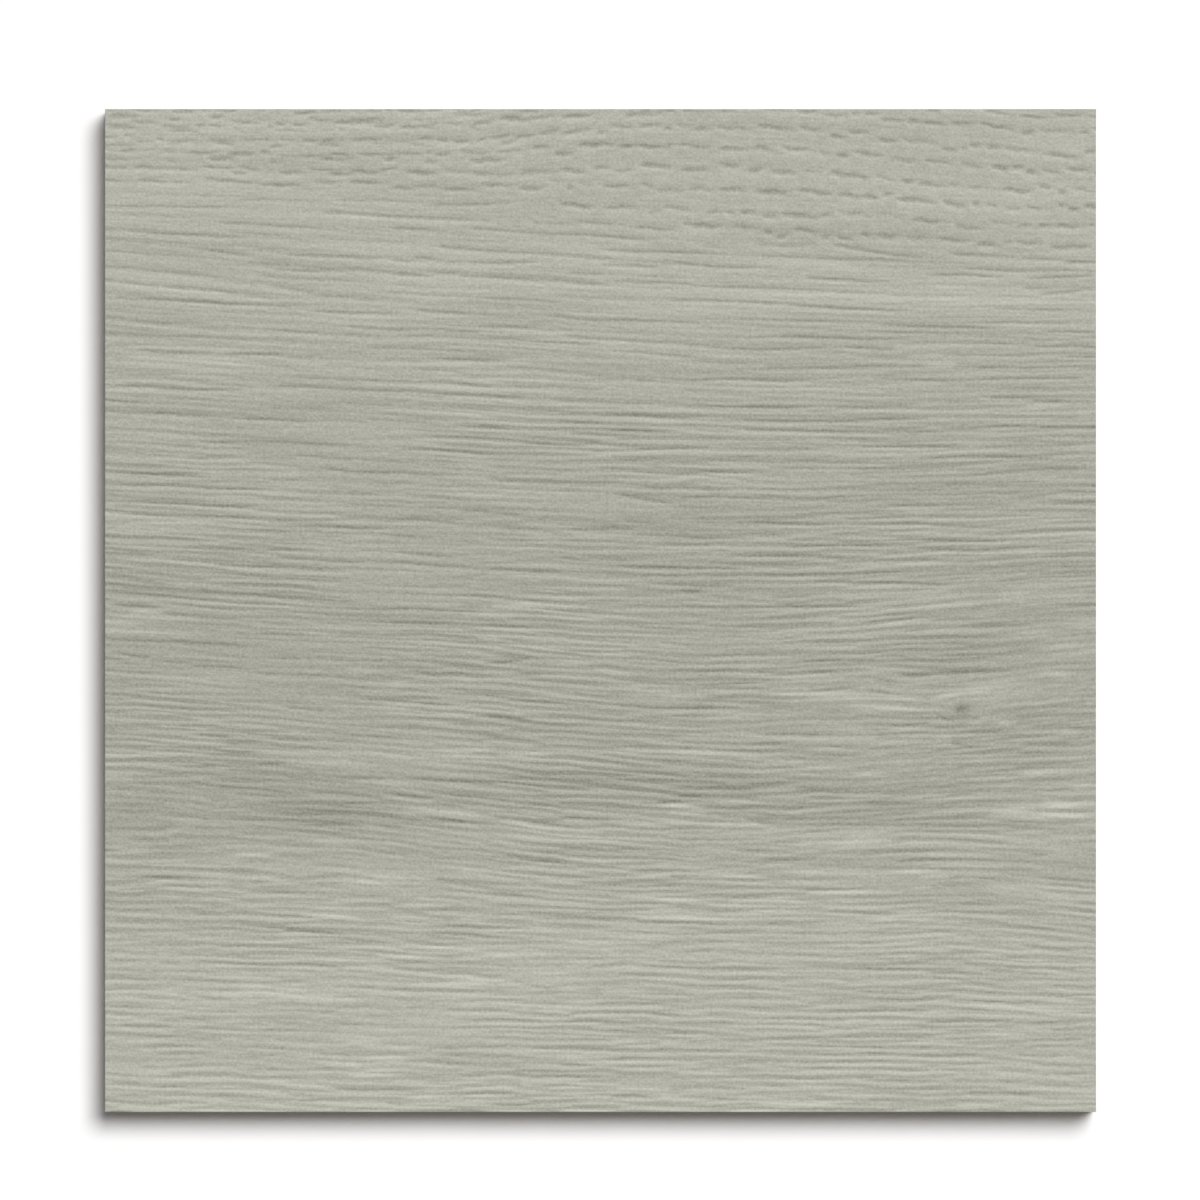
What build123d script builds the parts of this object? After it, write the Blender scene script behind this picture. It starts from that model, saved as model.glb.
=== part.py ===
"""Square sample of a laminate floor plank, sawn square on all four sides.

Decor paper, fibreboard core and backing paper are pressed into one board, so the sample is one solid.
Frame: origin at the middle of the underside, +X along the wood grain, +Y across it, +Z out of the decor face.
"""

import os

from build123d import *

# Driving dimensions, in millimetres
cut_length = 190.7  # along the grain, from saw cut to saw cut
face_width = 193.0  # across the grain, the full decor width of the plank
board_thickness = 8.0  # from the backing to the decor face
decor_arris = 0.1  # easing that takes the sharpness off the sawn decor edge
backing_arris = 0.3  # easing of the sawn backing edge, where the saw leaves a burr

# Board: its section across the grain, run along the grain, then eased round both faces
with BuildPart() as plank:
    with BuildSketch(Plane.YZ):
        Rectangle(face_width, board_thickness, align=(Align.CENTER, Align.MIN))
    extrude(amount=cut_length / 2, both=True)
    decor_face = plank.faces().sort_by(Axis.Z)[-1]
    chamfer(decor_face.edges(), decor_arris)
    backing_face = plank.faces().sort_by(Axis.Z)[0]
    chamfer(backing_face.edges(), backing_arris)
plank.part.label = "plank"

os.makedirs("parts", exist_ok=True)
export_step(plank.part, "parts/plank.step")
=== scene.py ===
"""Looks of a square sample of laminate floor plank.

The decor face is embossed: grain grooves and pores are pressed into it, and the oak print lies in register
with them. The sawn sides show the fibreboard core between the decor paper and the backing paper.
"""

import math

import bpy
import numpy as np
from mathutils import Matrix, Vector


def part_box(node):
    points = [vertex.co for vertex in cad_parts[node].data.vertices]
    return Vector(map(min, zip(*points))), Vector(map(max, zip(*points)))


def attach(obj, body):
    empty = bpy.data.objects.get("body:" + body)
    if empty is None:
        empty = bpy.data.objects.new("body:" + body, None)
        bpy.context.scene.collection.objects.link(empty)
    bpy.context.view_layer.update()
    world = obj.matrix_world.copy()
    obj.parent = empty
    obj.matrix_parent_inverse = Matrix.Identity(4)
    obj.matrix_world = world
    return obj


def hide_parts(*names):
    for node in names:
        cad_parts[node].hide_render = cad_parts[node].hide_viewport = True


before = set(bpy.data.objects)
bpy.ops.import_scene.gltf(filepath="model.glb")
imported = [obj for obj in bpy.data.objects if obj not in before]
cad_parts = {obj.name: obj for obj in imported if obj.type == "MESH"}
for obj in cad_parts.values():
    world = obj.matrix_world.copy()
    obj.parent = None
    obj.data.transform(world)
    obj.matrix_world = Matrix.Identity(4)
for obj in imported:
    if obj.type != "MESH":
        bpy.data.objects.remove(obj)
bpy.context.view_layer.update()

# Sizes of the board, in millimetres: its box from the frame, and the easing of its edges
MM = 0.001
plank_low, plank_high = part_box("plank")
LENGTH = (plank_high.x - plank_low.x) / MM
WIDTH = (plank_high.y - plank_low.y) / MM
THICKNESS = (plank_high.z - plank_low.z) / MM
DECOR_ARRIS = 0.1
BACKING_ARRIS = 0.3
FACE_HALF_LENGTH = LENGTH / 2 - DECOR_ARRIS
FACE_HALF_WIDTH = WIDTH / 2 - DECOR_ARRIS

# Grids on which the grain is drawn: on the face, and on a sheet with the grain lines pulled straight
GRID_STEP_ALONG = 0.4
GRID_STEP_ACROSS = 0.2
SHEET_STEP = 0.1
SHEET_REACH = 106.0

# Seeds of the random draws
SEED = 20261127
SWAY_SEED = SEED
GROOVE_SEED = SEED + 1
PATCH_SEED = SEED + 4
WAVE_SEED = SEED + 5
STREAK_SEED = SEED + 6
CLUSTER_SEED = SEED + 7
CLOUD_SEED = SEED + 8
TANGLE_SEED = SEED + 9
RIPPLE_SEED = SEED + 20
WAVER_SEED = SEED + 30

# Random ripples: the least frequency that counts, and the share of mean strength that steadies weak ones
LEAST_FREQUENCY = 1e-6
WEAK_SHARE = 0.5


def smoothstep(low, high, value):
    """0 up to low, 1 from high on, and a smooth rise between them."""
    share = np.clip((value - low) / (high - low), 0, 1)
    return share * share * (3 - 2 * share)


def bump(x, y, centre, reach):
    """A soft hill of height 1 at centre that fades over reach, along and across the grain."""
    return np.exp(-((x - centre[0]) / reach[0]) ** 2 - ((y - centre[1]) / reach[1]) ** 2)


def smooth_noise(seed, shape, reach):
    """Random field of unit spread whose features reach so many cells across and along the grain."""
    white = np.random.default_rng(seed).standard_normal(shape)
    across = np.fft.fftfreq(shape[0])[:, None] * reach[0]
    along = np.fft.rfftfreq(shape[1])[None, :] * reach[1]
    fade = np.exp(-2 * math.pi ** 2 * (across ** 2 + along ** 2))
    field = np.fft.irfft2(np.fft.rfft2(white) * fade, shape)
    return field / field.std()


def ripple_noise(seed, shape, pitch, spread, reach):
    """Random ripples of even strength: their pitch across the grain and reach along it, in cells."""
    white = np.random.default_rng(seed).standard_normal(shape)
    across = np.fft.fftfreq(shape[0])[:, None]
    along = np.fft.fftfreq(shape[1])[None, :]
    octaves = np.log(np.maximum(across, LEAST_FREQUENCY) * pitch)
    band = np.exp(-(octaves / spread) ** 2 - 2 * math.pi ** 2 * (along * reach) ** 2)
    swell = np.fft.ifft2(np.fft.fft2(white) * band)
    size = np.abs(swell)
    ripple = swell.real / (size + WEAK_SHARE * size.mean())
    return ripple / ripple.std()


face_x = np.linspace(-FACE_HALF_LENGTH, FACE_HALF_LENGTH, round(LENGTH / GRID_STEP_ALONG))
face_y = np.linspace(-FACE_HALF_WIDTH, FACE_HALF_WIDTH, round(WIDTH / GRID_STEP_ACROSS))
FACE_SHAPE = (len(face_y), len(face_x))
sheet_v = np.arange(-SHEET_REACH, SHEET_REACH, SHEET_STEP)
SHEET_SHAPE = (len(sheet_v), len(face_x))


def face_noise(seed, reach):
    """Random field on the face whose features reach so many millimetres along and across the grain."""
    return smooth_noise(seed, FACE_SHAPE, (reach[1] / GRID_STEP_ACROSS, reach[0] / GRID_STEP_ALONG))


def sheet_noise(seed, reach):
    """The same kind of field on the sheet with the grain lines pulled straight."""
    return smooth_noise(seed, SHEET_SHAPE, (reach[1] / SHEET_STEP, reach[0] / GRID_STEP_ALONG))


# Run of the grain lines: the slopes at which they fall to the right at each level, on the left and the right
# of a soft turn, and the place along the grain where each line is at its own level
RUN_LEVELS = (-97, -58, -46, -35, 5, 25, 52, 68, 94)
FALL_LEFT = (0.025, 0.025, 0.035, 0.06, 0.055, 0.045, 0.05, 0.065, 0.0)
FALL_RIGHT = (0.01, 0.03, 0.0, -0.05, -0.055, -0.03, 0.01, 0.02, 0.03)
TURN_X = 34.0
TURN_LENGTH = 28.0
LEVEL_X = -30.0

# Pin knot, how the lines part round it, and the spots where the lines are tangled, with place and reach
KNOT = (69.3, -19.2)
KNOT_PARTING = 0.45
KNOT_PARTING_REACH = (5.0, 3.0)
TANGLE_WIDTH = 0.28
TANGLE_REACH = (2.2, 1.6)
TANGLE_MOST = 1.5
TANGLES = (
    ((-28, -12), (9, 3.0)),
    ((71, -19.5), (7, 3.5)),
    ((69, -20), (3, 2.0)),
    ((60, -14), (7, 2.5)),
    ((18, -47), (6, 2.5)),
    ((2, -68), (5, 2.5)),
    ((69, 48), (2.5, 2.5)),
    ((-10, 56), (3, 2.0)),
    ((17, 25), (4, 2.0)),
    ((-80, -38), (10, 5.0)),
)

# Bends of the lines on the face: how far each moves them across the grain, its place and its reach
SWEEP = 1.4
SWEEP_PLACE = (-22, -42)
SWEEP_REACH = (24, 24)
SWEEP_LEAN = 0.4
SWEEP_LEAN_LEVEL = -40
HUMP = 1.1
HUMP_PLACE = (68, -56)
HUMP_REACH = (18, 22)
SAG = 0.8
SAG_PLACE = (64, -18)
SAG_REACH = (10, 7)
ARCH = 1.5
ARCH_FEET = (-17, 66)
ARCH_FLANKS = (14, 22)
ARCH_LEVELS = (68, 95)

# Long sways and short waves of the lines: their reach along and across, and how wide they are at each level
SWAY_REACH = (14.0, 5.0)
SWAY_LEVELS = (-97, -55, -10, 40, 97)
SWAY_WIDTHS = (0.17, 0.22, 0.22, 0.17, 0.15)
WAVE_REACH = (4.0, 2.5)
WAVE_LEVELS = (-97, -30, 30, 97)
WAVE_WIDTHS = (0.08, 0.09, 0.07, 0.06)


def line_fall(x, y):
    """How far a grain line has fallen below its own level at x."""
    left = np.interp(y, RUN_LEVELS, FALL_LEFT)
    right = np.interp(y, RUN_LEVELS, FALL_RIGHT)

    def turned(at):
        return TURN_LENGTH * np.log(np.cosh((at - TURN_X) / TURN_LENGTH))

    return (left + right) / 2 * (x - LEVEL_X) - (left - right) / 2 * (turned(x) - turned(LEVEL_X))


def grain_across(x, y):
    """Place of each face point across the grain: it is the same all along a grain line."""
    lean = SWEEP_LEAN * (y - SWEEP_LEAN_LEVEL)
    fade = np.exp(-((y - SWEEP_PLACE[1]) / SWEEP_REACH[1]) ** 2)
    sweep = SWEEP * np.tanh((x - SWEEP_PLACE[0] - lean) / SWEEP_REACH[0]) * fade
    hump = HUMP * bump(x, y, HUMP_PLACE, HUMP_REACH)
    sag = SAG * bump(x, y, SAG_PLACE, SAG_REACH)
    left_flank, right_flank = (np.tanh((x - foot) / flank) for foot, flank in zip(ARCH_FEET, ARCH_FLANKS))
    arch = ARCH * (left_flank - right_flank) * smoothstep(*ARCH_LEVELS, y)
    round_knot = (y - KNOT[1]) * KNOT_PARTING * bump(x, y, KNOT, KNOT_PARTING_REACH)
    sway = face_noise(SWAY_SEED, SWAY_REACH) * np.interp(y, SWAY_LEVELS, SWAY_WIDTHS)
    waves = face_noise(WAVE_SEED, WAVE_REACH) * np.interp(y, WAVE_LEVELS, WAVE_WIDTHS)
    tangled = np.minimum(TANGLE_MOST, sum(bump(x, y, *spot) for spot in TANGLES))
    tangle = face_noise(TANGLE_SEED, TANGLE_REACH) * TANGLE_WIDTH * tangled
    return y + line_fall(x, y) + sweep + sag - hump - arch - round_knot + sway + waves + tangle


# Grain lines down the face: at each level, the pitch of the lines, the length of a groove and of the gap
# after it, its depth and half width, in millimetres, and its tilt from the line. The top levels are pores
GRAIN_LEVELS = (97, 82, 79, 60, 36, 0, -40, -58, -97)
LINE_PITCH = (2.7, 2.7, 2.5, 2.5, 1.9, 1.75, 1.75, 1.8, 1.85)
GROOVE_LENGTH = (4.8, 5.2, 20, 28, 32, 26, 18, 13, 12)
GROOVE_GAP = (0.3, 0.5, 5, 5, 4, 3.5, 3, 2.5, 2.5)
GROOVE_DEPTH = (0.152, 0.152, 0.14, 0.138, 0.101, 0.098, 0.086, 0.092, 0.111)
GROOVE_HALF_WIDTH = (0.32, 0.32, 0.28, 0.27, 0.27, 0.27, 0.27, 0.27, 0.27)
GROOVE_TILT = (-0.03, -0.03, -0.01, 0, 0, 0, 0, 0, 0)

# How the grooves differ from one another: the spread of each measure, as a share of it or in millimetres.
# A lead and a tail, where a groove starts and ends, take up no more than their shares of its length
LINE_START_REACH = 40
PITCH_SPREAD = 0.28
LINE_JITTER = 0.13
LENGTH_SPREAD = (0.3, 1.7)
GAP_SPREAD = (-0.7, 1.7)
LEAST_DEPTH = 0.35
MOST_DEPTH = 1.1
HALF_WIDTH_SPREAD = (0.75, 1.25)
TILT_SPREAD = 0.004
SHORT_TILT_SPREAD = 0.25
SWING = (0.03, 0.12)
SWING_LENGTH = (1.5, 5.0)
GROOVE_SIDES = (0.8, 1.4)
GROOVE_LEAD = 2.0
GROOVE_LEAD_SHARE = 0.25
GROOVE_TAIL = 7.0
GROOVE_TAIL_SHARE = 0.5

# Pores: they reach further down on the right, are short and evenly deep, and swing in short waves. A groove
# turns into a pore as the length at its level falls, and swings like one from half way on
PORE_LEVEL = 60
PORE_DROP = 7.5
PORE_DROP_RUN = (-50, 30)
PORE_LENGTHS = (12, 6)
PORE_HALF_WAY = 0.5
PORE_DEPTH_GAIN = 0.25
PORE_SWING = (0.04, 0.14)
PORE_SWING_LENGTH = (0.5, 1.0)

# Combed grooves of the lower face: more even than the others, with shorter swings and tails
COMBED_LEVELS = (-46, -62)
COMBED_SWING_GAIN = 0.4
COMBED_SWING_LOSS = 0.6
COMBED_DEPTH_GAIN = 0.4
COMBED_DEPTH_LOSS = 0.1
COMBED_JITTER_LOSS = 0.05
COMBED_TAIL_LOSS = 0.6
COMBED_PITCH_LOSS = 0.08

# Rows of pores that crowd in between the others on the left: how far down and along they reach, how ragged
# their end is, the rest after each pore, and the spread of their pitch
CROWDED_FOOT = 82
CROWDED_END = 0
CROWDED_FRAY = 20
CROWDED_REST = 5
CROWDED_SPREAD = (0.8, 1.2)

# Pale streaks of the print, in clusters
STREAK_COUNT = 1500
STREAK_LENGTH = (5.0, 20.0)
STREAK_HALF_WIDTH = (0.25, 0.5)
STREAK_LEVELS = (-97, -60, -45, -20, 10, 60)
STREAK_STRENGTHS = (0.9, 0.9, 0.9, 1.0, 0.6, 0.2)
STREAK_SPREAD = (0.3, 1.0)
STREAK_SIDES = (1.0, 1.0)
CLUSTER_REACH = (14.0, 4.0)
CLUSTER_SPAN = (-1.0, 1.2)

# Fine ripples between the grooves, from the foot of the face up: the level at the middle of each kind, its
# pitch, the spread of the pitch, and how far a ripple reaches along the grain. Their strength varies by
# level and in patches
RIPPLE_KINDS = ((-85, 1.6, 0.6, 3.0), (-30, 1.5, 0.6, 2.8), (40, 1.4, 0.6, 4.5))
RIPPLE_LEVELS = (-97, -70, -40, 30, 55, 74, 80)
RIPPLE_STRENGTHS = (1.55, 1.5, 1.45, 1.1, 0.45, 0.2, 0.1)
PATCH_REACH = (9.0, 4.0)
PATCH_SHARE = 0.4
PATCH_LIMITS = (0.2, 2.0)

# Soft bands of the print: their reach along and across the grain
CLOUD_REACH = (9.0, 0.7)

# Calm spots, where the grooves and ripples are shallow: place, reach and how calm
CALM_SPOTS = (
    ((62, -35), (22, 6), 0.50),
    ((86, -9), (16, 9), 0.40),
    ((-84, -34), (14, 7), 0.35),
    ((-80, 38), (14, 10), 0.35),
    ((56, 23), (18, 4), 0.30),
    ((12, -36), (16, 4), 0.30),
    ((73, -19), (11, 6), 0.65),
)

# Strong grain lines: where each starts and ends on the face. The other grooves keep clear of them
STRONG_DEPTH = 0.135
STRONG_HALF_WIDTH = 0.3
CLEAR_HALF_WIDTH = 1.1
CLEAR_SHARE = 0.85
STRONG_LINES = (
    ((-95, 73.2), (-67, 71.5)),
    ((-79, 69.6), (-66, 68.3)),
    ((-62, 68.6), (-42, 67.8)),
    ((-64, 65.9), (-53, 65.1)),
    ((-51, 66.0), (-39, 65.2)),
    ((-95, 63.4), (-83, 62.6)),
    ((-65, 62.7), (-54, 61.4)),
    ((-44, 61.3), (-23, 60.1)),
    ((-26, 60.3), (-6, 59.4)),
    ((-37, 68.0), (-30, 67.1)),
    ((-28, 67.4), (-12, 67.0)),
    ((-29, 64.7), (-10, 63.4)),
    ((-95, 60.5), (-62, 58.7)),
    ((-37, 57.9), (-23, 56.9)),
    ((-95, 56.0), (-75, 55.2)),
    ((-67, 54.1), (-49, 53.1)),
    ((-25, 54.7), (-5, 53.9)),
    ((-91, 50.0), (-73, 49.6)),
    ((-74, 49.3), (-60, 49.4)),
    ((-34, 48.7), (-16, 48.0)),
    ((-37, 46.4), (-24, 45.5)),
    ((-95, 45.1), (-81, 45.0)),
    ((-95, 43.0), (-66, 42.3)),
    ((-35, 44.0), (-20, 43.2)),
    ((-20, 43.4), (1, 42.6)),
    ((-95, 38.0), (-72, 37.2)),
    ((-74, 37.3), (-53, 36.4)),
    ((-46, 36.9), (-29, 35.7)),
    ((-30, 35.8), (-17, 35.0)),
    ((-78, 32.8), (-47, 31.7)),
    ((-41, 31.0), (-19, 30.1)),
    ((-15, 32.3), (-1, 31.7)),
    ((-69, 28.2), (-57, 27.8)),
    ((-95, 26.8), (-74, 25.6)),
    ((-95, 21.4), (-66, 19.7)),
    ((-92, 18.9), (-62, 17.6)),
    ((-61, 16.4), (-40, 15.5)),
    ((-80, 12.3), (-64, 11.0)),
    ((-40, 17.6), (-24, 16.6)),
    ((-26, 16.8), (-10, 15.6)),
    ((-7, 15.8), (8, 15.5)),
    ((-28, 19.3), (-14, 18.2)),
    ((-44, 11.7), (-28, 10.3)),
    ((-46, 9.8), (-22, 7.9)),
    ((-24, 8.0), (2, 6.9)),
    ((-74, 3.5), (-46, 1.4)),
    ((-95, 1.4), (-84, 0.6)),
    ((-2, 69.6), (26, 68.5)),
    ((24, 68.5), (62, 67.1)),
    ((0, 66.5), (12, 66.0)),
    ((0, 63.3), (22, 62.5)),
    ((18, 62.6), (46, 61.4)),
    ((62, 64.8), (78, 64.1)),
    ((81, 63.9), (95, 64.4)),
    ((83, 60.8), (94, 61.4)),
    ((34, 58.8), (60, 57.6)),
    ((0, 56.1), (22, 55.4)),
    ((52, 55.0), (78, 54.3)),
    ((24, 52.8), (60, 52.1)),
    ((19, 50.7), (47, 50.3)),
    ((46, 50.7), (57, 50.3)),
    ((2, 50.1), (19, 48.8)),
    ((49, 48.9), (60, 48.7)),
    ((28, 46.5), (58, 46.9)),
    ((71, 46.8), (80, 47.0)),
    ((10, 44.8), (45, 44.1)),
    ((52, 44.6), (72, 44.2)),
    ((70, 44.3), (94, 44.9)),
    ((43, 39.2), (62, 39.1)),
    ((81, 40.4), (90, 40.2)),
    ((-1, 37.6), (24, 37.1)),
    ((22, 37.1), (45, 36.4)),
    ((42, 36.3), (64, 37.0)),
    ((0, 35.0), (16, 34.1)),
    ((0, 31.5), (22, 31.2)),
    ((20, 31.3), (42, 31.0)),
    ((50, 31.4), (72, 31.5)),
    ((70, 31.5), (95, 31.9)),
    ((0, 29.3), (28, 28.7)),
    ((26, 28.8), (55, 28.5)),
    ((73, 29.7), (88, 29.2)),
    ((4, 26.9), (30, 26.6)),
    ((73, 26.7), (95, 27.5)),
    ((2, 22.6), (16, 20.4)),
    ((78, 21.9), (95, 22.9)),
    ((26, 16.8), (46, 16.4)),
    ((50, 16.6), (82, 16.5)),
    ((10, 14.6), (30, 13.5)),
    ((54, 13.5), (82, 13.8)),
    ((11, 13.0), (27, 12.6)),
    ((26, 10.5), (50, 10.2)),
    ((50, 10.2), (66, 9.8)),
    ((54, 11.4), (88, 12.3)),
    ((2, 8.6), (32, 7.8)),
    ((40, 5.6), (68, 5.0)),
    ((15, 3.9), (20, 3.5)),
    ((-49, -1.9), (-11, -3.4)),
    ((-80, -10.4), (-66, -11.4)),
    ((-95, -7.6), (-86, -9.0)),
    ((-23, -10.4), (-13, -9.2)),
    ((-26, -20.2), (-13, -21.2)),
    ((-66, -29.6), (-60, -29.4)),
    ((-42, -31.8), (-20, -33.4)),
    ((-41, -35.0), (-31, -36.0)),
    ((-34, -39.9), (-20, -41.2)),
    ((-20, -46.9), (-5, -48.9)),
    ((-90, -51.2), (-79, -51.7)),
    ((-34, -51.4), (-19, -53.6)),
    ((-62, -61.3), (-50, -62.2)),
    ((-19, -71.5), (-9, -72.5)),
    ((-82, -73.6), (-70, -75.2)),
    ((39, -6.2), (50, -6.3)),
    ((37, -9.6), (47, -9.3)),
    ((14, -11.4), (40, -12.0)),
    ((38, -11.8), (48, -11.4)),
    ((51, -12.9), (58, -13.9)),
    ((57, -12.5), (64, -12.5)),
    ((62, -12.3), (80, -11.5)),
    ((51, -15.2), (56, -15.7)),
    ((40, -15.6), (50, -14.8)),
    ((55, -22.2), (64, -21.7)),
    ((29, -25.6), (37, -25.9)),
    ((67, -25.3), (72, -26.0)),
    ((64, -19.9), (68, -21.3)),
    ((69, -23.4), (80, -23.5)),
    ((14, -35.6), (20, -35.8)),
    ((10, -36.9), (17, -36.6)),
    ((28, -40.2), (35, -41.4)),
    ((37, -53.8), (52, -53.5)),
    ((6, -68.4), (36, -68.9)),
    ((35, -68.8), (63, -68.9)),
    ((18, -82.3), (48, -82.8)),
    ((82, -47.2), (86, -47.0)),
)

# Pale flecks of the print: where each starts and ends on the face, its half width and how pale it is
PALE_FLECKS = (
    ((-57, -4.2), (-50, -5.3), 0.45, 0.9),
    ((-50, -11.2), (-43, -11.9), 0.40, 0.9),
    ((-41, -14.2), (-33, -13.2), 0.45, 0.8),
    ((-30, -13.6), (-24, -13.3), 0.40, 0.7),
    ((-27, -7.6), (-19, -8.8), 0.40, 0.7),
    ((-14, -16.3), (-6, -17.6), 0.50, 0.9),
    ((-95, -16.2), (-80, -17.8), 0.50, 0.7),
    ((-95, 12.9), (-78, 11.3), 0.40, 0.8),
    ((-66, -25.2), (-61, -25.6), 0.50, 0.8),
    ((-60, -28.8), (-44, -29.8), 0.50, 0.9),
    ((-44, -23.4), (-20, -24.6), 0.50, 0.5),
    ((-33, -26.0), (-26, -28.0), 0.50, 0.9),
    ((-27, -27.4), (-20, -26.5), 0.50, 0.9),
    ((-17, -27.2), (-10, -27.7), 0.55, 1.0),
    ((-14, -23.6), (-2, -25.4), 0.40, 0.6),
    ((-43, -33.2), (-32, -34.8), 0.50, 0.9),
    ((-38, -38.2), (-20, -40.2), 0.55, 1.3),
    ((-19, -40.6), (-7, -42.3), 0.50, 1.0),
    ((-47, -41.0), (-40, -42.4), 0.45, 0.9),
    ((-79, -35.4), (-75, -35.9), 0.50, 0.8),
    ((-84, -42.5), (-77, -41.2), 0.45, 0.7),
    ((-90, -43.2), (-83, -43.0), 0.40, 0.8),
    ((-95, -45.2), (-87, -45.8), 0.90, 0.8),
    ((-73, -47.2), (-60, -46.4), 0.50, 0.9),
    ((-56, -44.8), (-46, -45.6), 0.50, 1.0),
    ((-19, -45.4), (-10, -47.4), 0.50, 0.9),
    ((2, -4.6), (50, -4.2), 0.40, 0.5),
    ((33, -13.2), (50, -12.6), 0.40, 0.8),
    ((42, -18.5), (60, -19.9), 0.40, 0.7),
    ((22, -18.0), (31, -18.8), 0.40, 0.7),
    ((3, -24.6), (30, -26.6), 0.45, 1.0),
    ((36, -24.3), (54, -24.9), 0.45, 0.9),
    ((32, -28.8), (42, -29.6), 0.40, 0.8),
    ((51, -25.3), (64, -25.2), 0.40, 0.8),
    ((55, -21.0), (65, -21.1), 0.40, 0.8),
    ((64, -16.6), (70, -15.5), 0.50, 1.4),
    ((69, -15.5), (76, -15.1), 0.45, 1.3),
    ((75, -20.8), (80, -22.0), 0.55, 2.0),
    ((71, -21.8), (75, -20.4), 0.60, 1.3),
    ((64, -24.7), (68, -24.4), 0.50, 1.4),
    ((85, -12.0), (91, -12.8), 0.50, 1.4),
    ((86, -17.2), (92, -16.9), 0.35, 1.0),
    ((87, -22.8), (92, -23.1), 0.45, 1.0),
    ((81, -31.0), (95, -31.2), 0.60, 1.3),
    ((90, -34.2), (95, -33.6), 0.60, 1.1),
    ((75, -38.8), (83, -38.2), 0.60, 1.2),
    ((84, -38.0), (95, -36.8), 0.50, 1.0),
    ((12, -37.4), (20, -37.7), 0.45, 1.5),
    ((13, -38.7), (21, -38.8), 0.50, 1.4),
    ((2, -40.4), (20, -41.0), 0.45, 1.4),
    ((18, -41.2), (30, -41.4), 0.40, 1.0),
    ((38, -45.0), (57, -45.1), 0.55, 1.3),
    ((83, -46.6), (95, -47.2), 0.60, 0.9),
    ((-78, -51.2), (-71, -52.2), 0.60, 0.8),
    ((-69, -51.8), (-62, -51.2), 0.60, 0.8),
    ((-58, -58.2), (-45, -59.2), 0.45, 1.1),
    ((-44, -60.4), (-30, -61.2), 0.55, 1.1),
    ((-63, -62.4), (-57, -63.2), 0.50, 1.1),
    ((-8, -72.6), (-2, -72.8), 0.80, 0.8),
    ((7, -58.9), (28, -59.4), 0.50, 1.2),
    ((52, -59.0), (66, -59.4), 0.45, 0.9),
    ((10, -70.4), (20, -71.0), 0.70, 0.8),
    ((30, -73.2), (42, -73.2), 0.60, 0.8),
    ((62, 47.4), (69, 47.6), 0.60, 1.2),
    ((52, 10.8), (88, 11.4), 0.35, 0.8),
)


def level_value(level, values):
    """A grain value at one level of the face, between the levels that are written down."""
    return float(np.interp(-level, [-at for at in GRAIN_LEVELS], values))


# Marks: how many half widths are drawn on each side of the middle, and the swing of one that runs straight
MARK_REACH = 3
NO_SWING = (0.0, 1.0, 0.0)


def press_mark(sheet, start, length, across, height, half_width, sides, ends, tilt=0.0, swing=NO_SWING):
    """Presses one long mark into the sheet, with two sides that fall off and two ends that taper."""
    columns = (face_x >= start) & (face_x <= start + length)
    if not columns.any():
        return
    x = face_x[columns]
    taper = np.sqrt(np.clip((x - start) / ends[0], 0, 1) * np.clip((start + length - x) / ends[1], 0, 1))
    centre = across + tilt * (x - start - length / 2) + swing[0] * np.sin(x / swing[1] + swing[2])
    reach = MARK_REACH * half_width * max(sides)
    rows = (sheet_v >= centre.min() - reach) & (sheet_v <= centre.max() + reach)
    offset = (sheet_v[rows][:, None] - centre[None, :]) / half_width
    section = np.where(offset > 0, np.exp(-(offset / sides[0]) ** 2), np.exp(-(offset / sides[1]) ** 2))
    area = np.ix_(rows, columns)
    sheet[area] = np.maximum(sheet[area], height * taper * section)


def grain_kind(level, x):
    """Level whose kind of grain a place has: the pores reach further down on the right."""
    return level + (PORE_DROP * float(smoothstep(*PORE_DROP_RUN, x)) if level > PORE_LEVEL else 0)


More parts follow.
